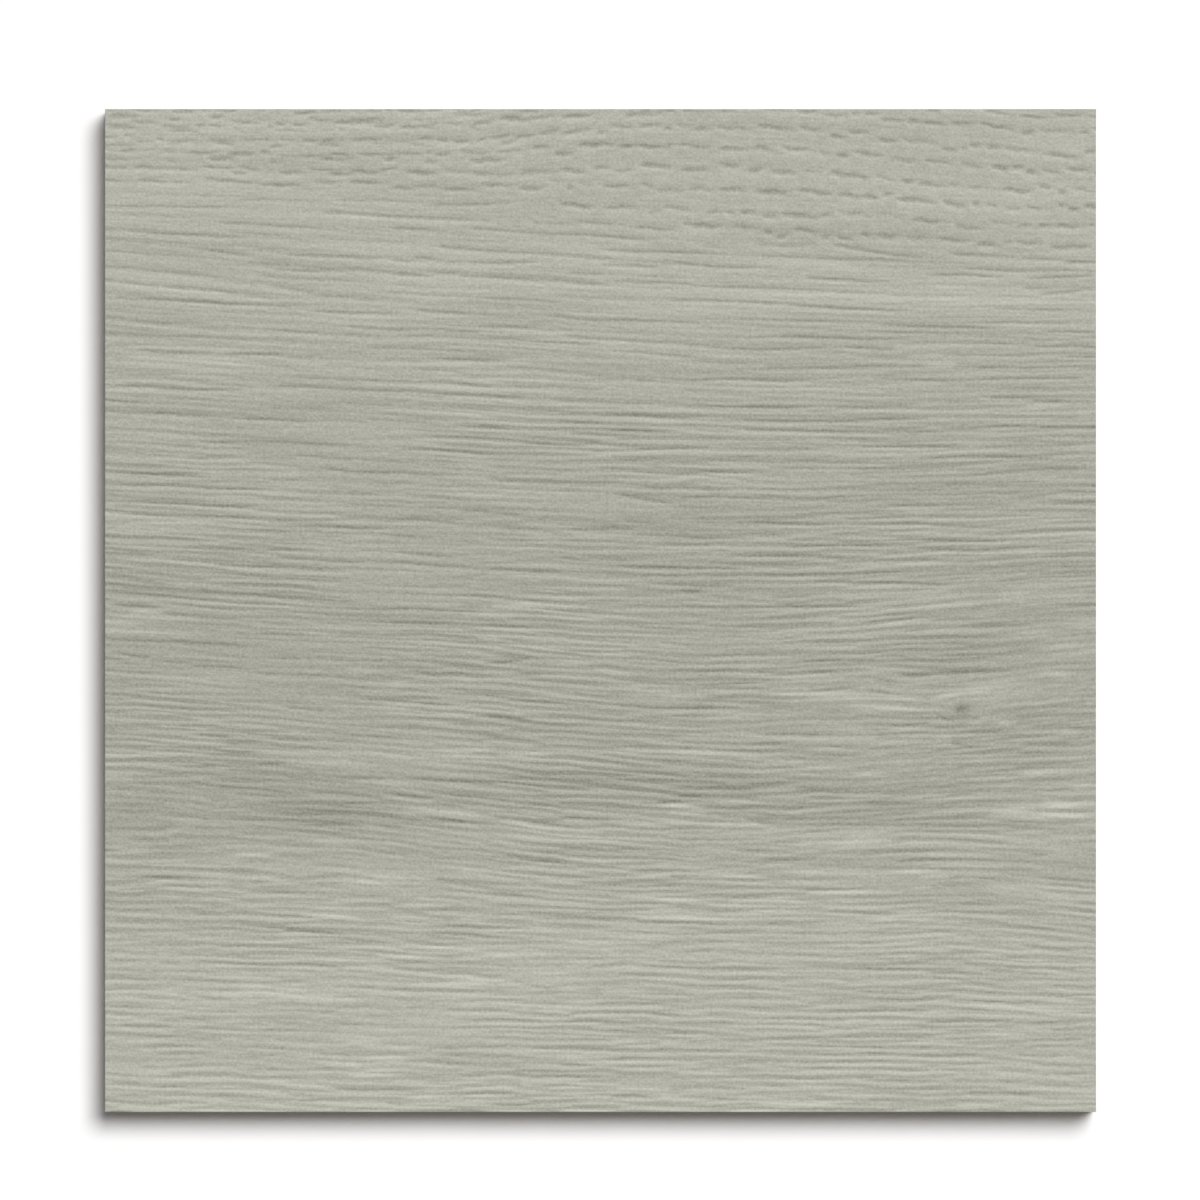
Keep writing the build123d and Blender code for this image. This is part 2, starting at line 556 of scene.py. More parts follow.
def groove_sheet():
    """Depth of the grooves and pores on the face with its grain lines pulled straight."""
    rng = np.random.default_rng(GROOVE_SEED)
    sheet = np.zeros(SHEET_SHAPE)

    def random_swing(width, length):
        """How wide and how long a groove's swing is, and where in the swing it starts."""
        return rng.uniform(*width), rng.uniform(*length), rng.uniform(0, 2 * math.pi)

    def press_line(level, pitch, combed, end, rest):
        """Presses the grooves of one grain line up to its end, with a rest after each."""
        x = -LENGTH / 2 - rng.uniform(0, LINE_START_REACH)
        while x < end:
            kind = grain_kind(level, x)
            length = level_value(kind, GROOVE_LENGTH) * rng.uniform(*LENGTH_SPREAD)
            gap = level_value(kind, GROOVE_GAP) * rng.uniform(*GAP_SPREAD)
            pore = smoothstep(*PORE_LENGTHS, level_value(kind, GROOVE_LENGTH))
            width, swing_length, turn = random_swing(SWING, SWING_LENGTH)
            width = width * (1 + COMBED_SWING_GAIN * combed)
            swing_length = swing_length * (1 - COMBED_SWING_LOSS * combed)
            swing = (width, swing_length, turn)
            if pore > PORE_HALF_WAY:
                swing = random_swing(PORE_SWING, PORE_SWING_LENGTH)
            least_depth = LEAST_DEPTH + max(PORE_DEPTH_GAIN * pore, COMBED_DEPTH_GAIN * combed)
            most_depth = MOST_DEPTH - COMBED_DEPTH_LOSS * combed
            depth = level_value(kind, GROOVE_DEPTH) * rng.uniform(least_depth, most_depth)
            half_width = level_value(kind, GROOVE_HALF_WIDTH) * rng.uniform(*HALF_WIDTH_SPREAD)
            tilt = level_value(kind, GROOVE_TILT) + rng.normal(0, TILT_SPREAD + SHORT_TILT_SPREAD / length)
            place = level + rng.normal(0, (LINE_JITTER - COMBED_JITTER_LOSS * combed) * pitch)
            lead = min(GROOVE_LEAD, length * GROOVE_LEAD_SHARE)
            tail = min(GROOVE_TAIL * (1 - COMBED_TAIL_LOSS * combed), length * GROOVE_TAIL_SHARE)
            press_mark(sheet, x, length, place, depth, half_width, GROOVE_SIDES, (lead, tail), tilt, swing)
            x += length + gap + rest

    level = SHEET_REACH
    while level > -SHEET_REACH:
        pitch = level_value(level, LINE_PITCH)
        combed = float(smoothstep(*COMBED_LEVELS, level))
        press_line(level, pitch, combed, LENGTH / 2, 0)
        spread = PITCH_SPREAD - COMBED_PITCH_LOSS * combed
        level -= pitch * rng.uniform(1 - spread, 1 + spread)
    level = SHEET_REACH
    while level > CROWDED_FOOT:
        pitch = level_value(level, LINE_PITCH)
        end = CROWDED_END + rng.uniform(-CROWDED_FRAY, CROWDED_FRAY)
        press_line(level, pitch, 0, end, CROWDED_REST)
        level -= pitch * rng.uniform(*CROWDED_SPREAD)
    return sheet


def ripple_sheet():
    """Fine ripples between the grooves, as a brushed grain has."""
    levels = [kind[0] for kind in RIPPLE_KINDS]
    ripple = np.zeros(SHEET_SHAPE)
    for i, (_, pitch, spread, reach) in enumerate(RIPPLE_KINDS):
        share = np.interp(sheet_v, levels, np.eye(len(levels))[i])[:, None]
        pitch_cells = pitch / SHEET_STEP
        reach_cells = reach / GRID_STEP_ALONG
        kind = ripple_noise(RIPPLE_SEED + i, SHEET_SHAPE, pitch_cells, spread, reach_cells)
        ripple = ripple + kind * np.sqrt(share)
    patches = sheet_noise(PATCH_SEED, PATCH_REACH)
    strength = np.interp(sheet_v, RIPPLE_LEVELS, RIPPLE_STRENGTHS)[:, None]
    return ripple * strength * np.clip(1 + PATCH_SHARE * patches, *PATCH_LIMITS)


def streak_sheet():
    """Pale streaks of the print, like lenses along the grain, most of them on the lower face."""
    rng = np.random.default_rng(STREAK_SEED)
    sheet = np.zeros(SHEET_SHAPE)
    cluster = sheet_noise(CLUSTER_SEED, CLUSTER_REACH)
    for _ in range(STREAK_COUNT):
        middle = rng.uniform(-LENGTH / 2, LENGTH / 2)
        level = rng.uniform(-SHEET_REACH, SHEET_REACH)
        row = int((level + SHEET_REACH) / SHEET_STEP)
        column = int((middle + LENGTH / 2) / GRID_STEP_ALONG) % SHEET_SHAPE[1]
        strength = np.interp(level, STREAK_LEVELS, STREAK_STRENGTHS) * rng.uniform(*STREAK_SPREAD)
        strength = strength * smoothstep(*CLUSTER_SPAN, cluster[row, column])
        length = rng.uniform(*STREAK_LENGTH)
        half_width = rng.uniform(*STREAK_HALF_WIDTH)
        ends = (length / 2, length / 2)
        press_mark(sheet, middle - length / 2, length, level, strength, half_width, STREAK_SIDES, ends)
    return sheet


def cloud_sheet():
    """Soft paler and darker bands of the print along the grain, of unit spread."""
    return sheet_noise(CLOUD_SEED, CLOUD_REACH)


def lens(x, y, start, end, half_width):
    """A slim lens from start to end on the face, of height 1 at its middle."""
    share = np.clip((x - start[0]) / (end[0] - start[0]), 0, 1)
    middle = start[1] + (end[1] - start[1]) * share
    return np.sqrt(4 * share * (1 - share)) * np.exp(-((y - middle) / half_width) ** 2)


def onto_face(sheet, across):
    """Lays a straightened sheet back along the grain lines of the face."""
    columns = [np.interp(across[:, j], sheet_v, sheet[:, j]) for j in range(len(face_x))]
    return np.stack(columns, axis=1)


# Paler and darker patches of the print: place, reach along and across the grain, and how much. After them,
# the tone of the print at each level of the face
TONE_PATCHES = (
    ((-95, -10), (60, 14), -0.10),
    ((10, 13), (30, 2.2), -0.20),
    ((60, 21), (45, 3.0), -0.30),
    ((-70, -29), (12, 4.5), -0.65),
    ((-88, -37), (8, 3.5), -0.50),
    ((-52, -38), (12, 4.5), -0.65),
    ((-4, -34), (26, 6.0), -0.72),
    ((48, -36), (32, 6.5), -0.78),
    ((-40, -28), (26, 3.0), 0.50),
    ((-6, -43.5), (26, 1.4), 1.10),
    ((62, -44), (30, 1.6), 0.95),
    ((84, -38), (14, 1.8), 0.50),
    ((-20, -50.5), (24, 2.2), 0.30),
    ((-70, -52), (22, 3.0), 0.30),
    ((60, 60), (44, 2.4), 0.45),
    ((-80, 83), (14, 5.0), 0.30),
    ((-45, 63), (30, 6.0), 0.30),
    ((-40, 35), (22, 7.0), 0.30),
    ((-38, 8), (14, 5.0), 0.40),
    ((72, -8), (22, 9.0), -0.45),
    ((70.9, -18.1), (1.4, 0.6), -0.90),
    ((69.1, 48.0), (0.5, 1.2), -0.90),
)
TONE_LEVELS = (-97, -64, -46, 0, 30, 62, 97)
LEVEL_TONES = (0.63, 0.38, -0.32, -0.41, -0.24, 0.28, 0.49)


def broad_tone(x, y):
    """Paleness of the print apart from its lines: 0 is the mean."""
    tone = np.interp(y, TONE_LEVELS, LEVEL_TONES)
    for centre, reach, strength in TONE_PATCHES:
        tone = tone + strength * bump(x, y, centre, reach)
    return tone


# Relief of the face, in millimetres below its crests
RIPPLE_HEIGHT = 0.018
CREST = 0.04
KNOT_PIT = 0.06
KNOT_REACH = (1.2, 0.9)

# Waver of the strong lines and flecks: how far they swing across the grain, and how long and wide a swing is
WAVER = 0.12
WAVER_REACH = (3.0, 1.2)

# Share by which each thing makes the print paler or darker, apart from the grooves and ripples, and how many
# rows of the grid the painted highlight of a groove lies below it, on the wall that faces the light
BROAD_SHARE = 0.18
CLOUD_SHARE = 0.035
STREAK_SHARE = 0.38
FLECK_SHARE = 0.19
GROOVE_HIGHLIGHT_SHARE = 0.8
KNOT_SHARE = -0.4
GROOVE_HIGHLIGHT_ROWS = 4

grid_x = face_x[None, :]
grid_y = face_y[:, None]
across = grain_across(grid_x, grid_y)
calm = sum(share * bump(grid_x, grid_y, centre, reach) for centre, reach, share in CALM_SPOTS)
drawn_y = grid_y + WAVER * face_noise(WAVER_SEED, WAVER_REACH)
strong = np.zeros(FACE_SHAPE)
clear = np.zeros(FACE_SHAPE)
for start, end in STRONG_LINES:
    strong = np.maximum(strong, lens(grid_x, drawn_y, start, end, STRONG_HALF_WIDTH))
    clear = np.maximum(clear, lens(grid_x, drawn_y, start, end, CLEAR_HALF_WIDTH))
flecks = np.zeros(FACE_SHAPE)
for start, end, half_width, strength in PALE_FLECKS:
    flecks = np.maximum(flecks, strength * lens(grid_x, drawn_y, start, end, half_width))
grooves = onto_face(groove_sheet(), across) * (1 - calm) * (1 - CLEAR_SHARE * clear)
grooves = np.maximum(grooves, STRONG_DEPTH * strong)
ripples = onto_face(ripple_sheet(), across) * (1 - calm)
streaks = onto_face(streak_sheet(), across)
clouds = onto_face(cloud_sheet(), across)
knot = bump(grid_x, grid_y, KNOT, KNOT_REACH)
# Painted highlight: the grooves moved a few rows down, so that a pale line is painted just below each
# groove, on its wall that faces the light
painted_groove_highlights = np.roll(grooves, -GROOVE_HIGHLIGHT_ROWS, axis=0)
relief = np.minimum(RIPPLE_HEIGHT * ripples - grooves - KNOT_PIT * knot - CREST, 0)
# Tone of the print, with the painted groove highlights added to it
print_and_highlight_tones = BROAD_SHARE * broad_tone(grid_x, grid_y) + CLOUD_SHARE * clouds + STREAK_SHARE * streaks
print_and_highlight_tones = print_and_highlight_tones + FLECK_SHARE * flecks + GROOVE_HIGHLIGHT_SHARE * painted_groove_highlights + KNOT_SHARE * knot


# Share of a cell that keeps the outermost points inside the last cell of the grid
GRID_EDGE = 0.001


def at_points(field, x, y):
    """Values of a face field at any points, between the points of its grid."""
    column = np.clip((x - face_x[0]) / (face_x[1] - face_x[0]), 0, len(face_x) - 1 - GRID_EDGE)
    row = np.clip((y - face_y[0]) / (face_y[1] - face_y[0]), 0, len(face_y) - 1 - GRID_EDGE)
    i = column.astype(int)
    j = row.astype(int)
    u = column - i
    v = row - j
    lower = field[j, i] * (1 - u) + field[j, i + 1] * u
    upper = field[j + 1, i] * (1 - u) + field[j + 1, i + 1] * u
    return lower * (1 - v) + upper * v


# Mesh of the face: long cells along the grain lines, shorter ones among the pores and at the knot, and rows
# that turn straight towards the edges. Each sawn side is divided into fields
COLUMN_STEP = 1.9
KNOT_COLUMN_SHARE = 0.45
KNOT_COLUMN_REACH = 9.0
PORE_COLUMNS = 3
PORE_EDGE = 68.0
LINE_ROW_STEP = 0.3
PORE_ROW_STEP = 0.29
STRAIGHT_REACH = 15.0
SIDE_FIELDS = 12


def mesh_columns():
    """Places of the mesh columns along the grain, closer together at the knot."""
    places = [-FACE_HALF_LENGTH]
    while places[-1] < FACE_HALF_LENGTH:
        nearness = math.exp(-((places[-1] - KNOT[0]) / KNOT_COLUMN_REACH) ** 2)
        places.append(places[-1] + COLUMN_STEP * (1 - (1 - KNOT_COLUMN_SHARE) * nearness))
    return np.interp(places, [places[0], places[-1]], [-FACE_HALF_LENGTH, FACE_HALF_LENGTH])


# Parts of the board's surface; those of the sides come once for each side, anticlockwise from the near one
SIDES = range(4)
NEAR, RIGHT, FAR, LEFT = SIDES
DECOR = 0
DECOR_EDGE = DECOR + 1
SAWN_SIDE = DECOR_EDGE + len(SIDES)
BACKING_EDGE = SAWN_SIDE + len(SIDES)
BACKING = BACKING_EDGE + len(SIDES)

point_blocks = []
polygons = []
polygon_parts = []


def add_points(x, y, z):
    """Adds points to the board, in millimetres, and returns their numbers in the shape they came in."""
    x, y, z = np.broadcast_arrays(x, y, z)
    first = sum(len(block) for block in point_blocks)
    point_blocks.append(np.stack([x.ravel(), y.ravel(), z.ravel()], axis=1))
    return first + np.arange(x.size).reshape(x.shape)


def add_polygon(numbers, part):
    """Adds one face, anticlockwise from outside."""
    polygons.append([int(number) for number in numbers])
    polygon_parts.append(part)


def add_grid(numbers, part):
    """Fills a grid of points with four-sided faces: its columns run right and its rows up, from outside."""
    cells = [numbers[:-1, :-1], numbers[:-1, 1:], numbers[1:, 1:], numbers[1:, :-1]]
    cells = np.stack(cells, axis=-1).reshape(-1, 4)
    polygons.extend(cells.tolist())
    polygon_parts.extend([part] * len(cells))


# Decor face: the lined field, the pored field above it, and the row of cells that joins them
columns = mesh_columns()
column_count = len(columns) - 1
pore_places = np.arange(PORE_COLUMNS * column_count + 1) / PORE_COLUMNS
pore_columns = np.interp(pore_places, np.arange(column_count + 1), columns)
line_row_count = round((PORE_EDGE + FACE_HALF_WIDTH) / LINE_ROW_STEP)
pore_row_count = round((FACE_HALF_WIDTH - PORE_EDGE) / PORE_ROW_STEP)
line_rows = np.linspace(-FACE_HALF_WIDTH, PORE_EDGE, line_row_count, endpoint=False)
pore_rows = np.linspace(PORE_EDGE, FACE_HALF_WIDTH, pore_row_count)


def face_points(x, rows):
    """Adds a grid of points on the embossed face: its rows follow the grain, but not at the edges."""
    follow = smoothstep(0, STRAIGHT_REACH, FACE_HALF_WIDTH - np.abs(face_y))
    y = np.empty((len(rows), len(x)))
    for j, place in enumerate(x):
        grain = at_points(across, np.full(len(face_y), place), face_y)
        y[:, j] = np.interp(rows, face_y + follow * (grain - face_y), face_y)
    x = np.broadcast_to(x, y.shape)
    return add_points(x, y, THICKNESS + at_points(relief, x, y))


lined = face_points(columns, line_rows)
pored = face_points(pore_columns, pore_rows)
add_grid(lined, DECOR)
add_grid(pored, DECOR)
middle = PORE_COLUMNS // 2
for i in range(column_count):
    left_point, right_point = lined[-1, i:i + 2]
    upper = pored[0, PORE_COLUMNS * i:PORE_COLUMNS * (i + 1) + 1]
    for j in range(middle):
        add_polygon([left_point, upper[j + 1], upper[j]], DECOR)
    add_polygon([left_point, right_point, upper[middle + 1], upper[middle]], DECOR)
    for j in range(middle + 1, PORE_COLUMNS):
        add_polygon([right_point, upper[j + 1], upper[j]], DECOR)

# Outline of the face, side by side, and the points where the fields of each sawn side meet
face_sides = {
    NEAR: lined[0, :],
    RIGHT: np.concatenate([lined[:, -1], pored[:, -1]]),
    FAR: pored[-1, ::-1],
    LEFT: np.concatenate([pored[::-1, 0], lined[::-1, 0]]),
}
row_count = line_row_count + pore_row_count
column_stops = np.linspace(0, column_count, SIDE_FIELDS + 1).round().astype(int)
row_stops = np.linspace(0, row_count - 1, SIDE_FIELDS + 1).round().astype(int)
side_stops = {
    NEAR: column_stops,
    RIGHT: row_stops,
    FAR: PORE_COLUMNS * (column_count - column_stops[::-1]),
    LEFT: row_count - 1 - row_stops[::-1],
}

# Eased edge, through which the grooves run out, and sawn sides
EDGE_DROP = 0.05
face_ring = np.concatenate([face_sides[side][:-1] for side in SIDES])
face_places = np.concatenate(point_blocks)[face_ring]
outward_x = LENGTH / 2 / FACE_HALF_LENGTH
outward_y = WIDTH / 2 / FACE_HALF_WIDTH
edge_x = face_places[:, 0] * outward_x
edge_y = face_places[:, 1] * outward_y
edge_z = np.minimum(THICKNESS - DECOR_ARRIS, face_places[:, 2] - EDGE_DROP)
edge_ring = add_points(edge_x, edge_y, edge_z)
stop_x = columns[column_stops] * outward_x
stop_y = np.concatenate([line_rows, pore_rows])[row_stops] * outward_y
foot = np.stack(np.meshgrid(stop_x, stop_y), axis=-1)
foot_sides = [foot[0, :-1], foot[:-1, -1], foot[-1, :0:-1], foot[:0:-1, 0]]
foot_places = np.concatenate(foot_sides)
foot_ring = add_points(foot_places[:, 0], foot_places[:, 1], BACKING_ARRIS)

# Underside, inside its own eased edge
inward_x = 1 - 2 * BACKING_ARRIS / LENGTH
inward_y = 1 - 2 * BACKING_ARRIS / WIDTH
under = add_points(*np.meshgrid(stop_x * inward_x, stop_y * inward_y), 0)
under_sides = {NEAR: under[0, :], RIGHT: under[:, -1], FAR: under[-1, ::-1], LEFT: under[::-1, 0]}
add_grid(under[:, ::-1], BACKING)

ring_start = 0
for side in SIDES:
    count = len(face_sides[side])
    edge_side = edge_ring[(ring_start + np.arange(count)) % len(edge_ring)]
    foot_side = foot_ring[(SIDE_FIELDS * side + np.arange(SIDE_FIELDS + 1)) % len(foot_ring)]
    add_grid(np.stack([edge_side, face_sides[side]]), DECOR_EDGE + side)
    add_grid(np.stack([under_sides[side], foot_side]), BACKING_EDGE + side)
    for field in range(SIDE_FIELDS):
        top = edge_side[side_stops[side][field]:side_stops[side][field + 1] + 1]
        add_polygon([foot_side[field], foot_side[field + 1], *top[::-1]], SAWN_SIDE + side)
    ring_start += count - 1

points = np.concatenate(point_blocks)
polygon_parts = np.array(polygon_parts)
mesh = bpy.data.meshes.new("laminate_plank")
mesh.from_pydata((points * MM).tolist(), [], polygons, shade_flat=False)
plank = bpy.data.objects.new("laminate_plank", mesh)
bpy.context.scene.collection.objects.link(plank)

# Crisp edges between the parts of the surface
loop_count = len(mesh.loops)
loop_edges = np.empty(loop_count, int)
loop_points = np.empty(loop_count, int)
mesh.loops.foreach_get("edge_index", loop_edges)
mesh.loops.foreach_get("vertex_index", loop_points)
loop_parts = np.repeat(polygon_parts, [len(polygon) for polygon in polygons])
lowest_part = np.full(len(mesh.edges), BACKING + 1)
highest_part = np.full(len(mesh.edges), -1)
np.minimum.at(lowest_part, loop_edges, loop_parts)
np.maximum.at(highest_part, loop_edges, loop_parts)
crisp = mesh.attributes.new("sharp_edge", "BOOLEAN", "EDGE")
crisp.data.foreach_set("value", lowest_part != highest_part)

# Print with its painted groove highlights, grooves, ripples and run of the grain at each point of the mesh,
# and the depth of a full groove
GROOVE_FULL = 0.13
print_and_highlight_tone = mesh.attributes.new("print_and_highlight_tone", "FLOAT", "POINT")
print_and_highlight_tone.data.foreach_set("value", at_points(print_and_highlight_tones, points[:, 0], points[:, 1]))
groove_share = mesh.attributes.new("groove_share", "FLOAT", "POINT")
groove_share.data.foreach_set("value", at_points(grooves, points[:, 0], points[:, 1]) / GROOVE_FULL)
ripple_swing = mesh.attributes.new("ripple_swing", "FLOAT", "POINT")
ripple_swing.data.foreach_set("value", at_points(ripples, points[:, 0], points[:, 1]))
grain_run = mesh.attributes.new("grain_run", "FLOAT_VECTOR", "POINT")
grain_places = [points[:, 0], at_points(across, points[:, 0], points[:, 1]), points[:, 2]]
grain_run.data.foreach_set("vector", np.stack(grain_places, axis=1).ravel())

# Flat layout of the surface: the face in a large square, the sides in strips beside it, the back in a corner
LAYOUT_MARGIN = 0.005
FACE_SPAN = 0.87
STRIP_STARTS = {NEAR: 0.885, FAR: 0.93, RIGHT: 0.885, LEFT: 0.93}
STRIP_SPAN = 0.0365
BACK_START = 0.975
BACK_SPAN = 0.02
share_x = points[loop_points, 0] / LENGTH + 0.5
share_y = points[loop_points, 1] / WIDTH + 0.5
share_z = points[loop_points, 2] / THICKNESS
layout = np.empty((loop_count, 2))
layout[:, 0] = LAYOUT_MARGIN + FACE_SPAN * share_x
layout[:, 1] = LAYOUT_MARGIN + FACE_SPAN * share_y
for side in SIDES:
    chosen = loop_parts == SAWN_SIDE + side
    along_side = share_x if side in (NEAR, FAR) else share_y
    run = LAYOUT_MARGIN + FACE_SPAN * along_side[chosen]
    climb = STRIP_STARTS[side] + STRIP_SPAN * share_z[chosen]
    layout[chosen] = np.stack([run, climb] if side in (NEAR, FAR) else [climb, run], axis=1)
chosen = loop_parts >= BACKING_EDGE
layout[chosen] = BACK_START + BACK_SPAN * np.stack([share_x[chosen], share_y[chosen]], axis=1)
layout_map = mesh.uv_layers.new(name="OFBake")
layout_map.data.foreach_set("uv", layout.ravel())


# Middle of a noise texture's values, and its roughness where none is given
NOISE_MIDDLE = 0.5
PLAIN_ROUGHNESS = 0.5


class Nodes:
    """Short ways to add and join the nodes of one material or world."""

    def __init__(self, owner):
        owner.use_nodes = True
        self.tree = owner.node_tree
        self.tree.nodes.clear()

    def add(self, kind, settings=None, **inputs):
        """Adds a node with its settings and inputs; an input is a value or another node's output."""
        node = self.tree.nodes.new(kind)
        for name, value in (settings or {}).items():
            setattr(node, name, value)
        for name, value in inputs.items():
            self.join(node.inputs[name.replace("_", " ")], value)
        return node

    def join(self, socket, value):
        """Sets one input to a value, or links it to another node's output."""
        if isinstance(value, bpy.types.NodeSocket):
            self.tree.links.new(value, socket)
        else:
            socket.default_value = value

    def math(self, operation, *values):
        """Result of a sum on values or outputs."""
        node = self.tree.nodes.new("ShaderNodeMath")
        node.operation = operation
        for socket, value in zip(node.inputs, values):
            self.join(socket, value)
        return node.outputs["Value"]

    def attribute(self, name):
        """A value stored at the points of the mesh."""
        return self.add("ShaderNodeAttribute", {"attribute_name": name})

    def noise(self, vector, scale, detail, roughness=PLAIN_ROUGHNESS):
        """Noise around 0, stretched by a scale along each axis of a vector."""
        spread = self.add("ShaderNodeMapping", Vector=vector, Scale=scale)
        node = self.add("ShaderNodeTexNoise", Vector=spread.outputs["Vector"], Scale=1.0, Detail=detail,
                        Roughness=roughness)
        return self.math("SUBTRACT", node.outputs["Fac"], NOISE_MIDDLE)

    def crisp(self, value, span, result):
        """Takes a value from one span to a result's span, with a soft start and end."""
        node = self.add("ShaderNodeMapRange", {"interpolation_type": "SMOOTHSTEP"}, Value=value)
        for name, limit in zip(("From Min", "From Max", "To Min", "To Max"), (*span, *result)):
            node.inputs[name].default_value = limit
        return node.outputs["Result"]

    def ramp(self, share, stops):
        """A colour that changes over a share from 0 to 1: places and colours, in order."""
        node = self.add("ShaderNodeValToRGB", Fac=share)
        elements = node.color_ramp.elements
        elements[0].position = stops[0][0]
        elements[0].color = (*stops[0][1], 1)
        elements[1].position = stops[-1][0]
        elements[1].color = (*stops[-1][1], 1)
        for place, colour in stops[1:-1]:
            elements.new(place).color = (*colour, 1)
        return node.outputs["Color"]

    def finish(self, shader, output="ShaderNodeOutputMaterial"):
        """Joins the shader to the output."""
        end = self.add(output)
        self.tree.links.new(shader.outputs[0], end.inputs["Surface"])


# Decor: the print's tone in register with the relief, with a painted highlight below each groove, fibres
# along the grain and a fine speckle
PRINT_DARK = (0.178, 0.180, 0.143)
PRINT_MEAN = (0.363, 0.367, 0.305)
PRINT_PALE = (0.550, 0.560, 0.478)
PRINT_MIDDLE = 0.5
FIBRE_SCALE = (0.14, 2.2, 1)
FIBRE_DETAIL = 3
FIBRE_ROUGHNESS = 0.6
FIBRE_SHARE = 0.25
SPECKLE_SCALE = (2000, 2200, 1000)
SPECKLE_DETAIL = 0
SPECKLE_SHARE = 0.4
RAGGED_SCALE = (1.1, 2.4, 1)
RAGGED_DETAIL = 2
RAGGED_SHARE = 0.5
GROOVE_SPAN = (0.1, 0.9)
GROOVE_TONES = (0.0, -0.25)
RIPPLE_SPAN = (-1.5, 1.5)
RIPPLE_TONES = (-0.113, 0.137)
RIPPLE_FIBRE_SHARE = 1.0
FRAY_SCALE = (0.6, 1.3, 1)
FRAY_DETAIL = 1
FRAY_SHARE = 2.2
DECOR_SPECULAR = 0.3
DECOR_ROUGHNESS = 0.52
GROOVE_ROUGHNESS = 0.12
DECOR_BUMP = 0.02 * MM

decor = bpy.data.materials.new("oak_decor")
nodes = Nodes(decor)
run = nodes.attribute("grain_run").outputs["Vector"]
groove = nodes.attribute("groove_share").outputs["Fac"]
fibres = nodes.noise(run, FIBRE_SCALE, FIBRE_DETAIL, FIBRE_ROUGHNESS)
speckle = nodes.noise(nodes.add("ShaderNodeTexCoord").outputs["Object"], SPECKLE_SCALE, SPECKLE_DETAIL)
ragged = nodes.noise(run, RAGGED_SCALE, RAGGED_DETAIL)
fray = nodes.noise(run, FRAY_SCALE, FRAY_DETAIL)
tone = nodes.math("MULTIPLY_ADD", fibres, FIBRE_SHARE, nodes.attribute("print_and_highlight_tone").outputs["Fac"])
tone = nodes.math("MULTIPLY_ADD", speckle, SPECKLE_SHARE, tone)
ragged_groove = nodes.math("MULTIPLY_ADD", ragged, RAGGED_SHARE, groove)
tone = nodes.math("ADD", tone, nodes.crisp(ragged_groove, GROOVE_SPAN, GROOVE_TONES))
ripple = nodes.attribute("ripple_swing").outputs["Fac"]
ripple = nodes.math("MULTIPLY_ADD", fibres, RIPPLE_FIBRE_SHARE, ripple)
ripple = nodes.math("MULTIPLY_ADD", fray, FRAY_SHARE, ripple)
tone = nodes.math("ADD", tone, nodes.crisp(ripple, RIPPLE_SPAN, RIPPLE_TONES))
share = nodes.math("ADD", tone, PRINT_MIDDLE)
colour = nodes.ramp(share, [(0.0, PRINT_DARK), (PRINT_MIDDLE, PRINT_MEAN), (1.0, PRINT_PALE)])
roughness = nodes.math("MULTIPLY_ADD", groove, GROOVE_ROUGHNESS, DECOR_ROUGHNESS)
grit = nodes.math("ADD", fibres, speckle)
bumps = nodes.add("ShaderNodeBump", Strength=1.0, Distance=DECOR_BUMP, Height=grit)
shader = nodes.add("ShaderNodeBsdfPrincipled", Base_Color=colour, Roughness=roughness,
                   Specular_IOR_Level=DECOR_SPECULAR, Normal=bumps.outputs["Normal"])
nodes.finish(shader)

# Sawn sides: decor paper on top, fibreboard that is denser and darker near both faces, backing paper below
CORE_DARK = (0.215, 0.145, 0.088)
CORE_MEAN = (0.300, 0.215, 0.138)
PAPER_EDGE = (0.36, 0.36, 0.30)
BACKING_EDGE_COLOUR = (0.33, 0.27, 0.20)
SIDE_LAYERS = (
    (0.0, BACKING_EDGE_COLOUR),
    (0.045, BACKING_EDGE_COLOUR),
    (0.055, CORE_DARK),
    (0.25, CORE_MEAN),
    (0.75, CORE_MEAN),
    (0.955, CORE_DARK),
    (0.965, PAPER_EDGE),
    (1.0, PAPER_EDGE),
)
CHIP_SCALE = (1900, 1900, 2600)
CHIP_DETAIL = 3
CHIP_ROUGHNESS = 0.6
SAW_SCALE = (2600, 2600, 90)
SAW_DETAIL = 2
SAWN_SHARE = 0.5
SAWN_BUMP = 0.05 * MM
SAWN_ROUGHNESS = 0.85
SAWN_SPECULAR = 0.25

sawn = bpy.data.materials.new("sawn_fibreboard")
nodes = Nodes(sawn)
place = nodes.add("ShaderNodeTexCoord").outputs["Object"]
height = nodes.add("ShaderNodeSeparateXYZ", Vector=place).outputs["Z"]
layer = nodes.math("DIVIDE", height, THICKNESS * MM)
chips = nodes.noise(place, CHIP_SCALE, CHIP_DETAIL, CHIP_ROUGHNESS)
marks = nodes.math("ADD", chips, nodes.noise(place, SAW_SCALE, SAW_DETAIL))
brightness = nodes.math("MULTIPLY_ADD", marks, SAWN_SHARE, 1.0)
layers = nodes.ramp(layer, SIDE_LAYERS)
tint = nodes.add("ShaderNodeVectorMath", {"operation": "SCALE"}, Vector=layers, Scale=brightness)
cut = nodes.add("ShaderNodeBump", Strength=1.0, Distance=SAWN_BUMP, Height=marks)
shader = nodes.add("ShaderNodeBsdfPrincipled", Base_Color=tint.outputs["Vector"], Roughness=SAWN_ROUGHNESS,
                   Specular_IOR_Level=SAWN_SPECULAR, Normal=cut.outputs["Normal"])
nodes.finish(shader)

# Underside: plain backing paper with a faint fibre
BACKING_DARK = (0.40, 0.345, 0.27)
BACKING_PALE = (0.50, 0.435, 0.345)
PAPER_SCALE = (260, 900, 900)
PAPER_DETAIL = 3
PAPER_SPAN = (-0.2, 0.2)
BACKING_ROUGHNESS = 0.7
BACKING_SPECULAR = 0.3

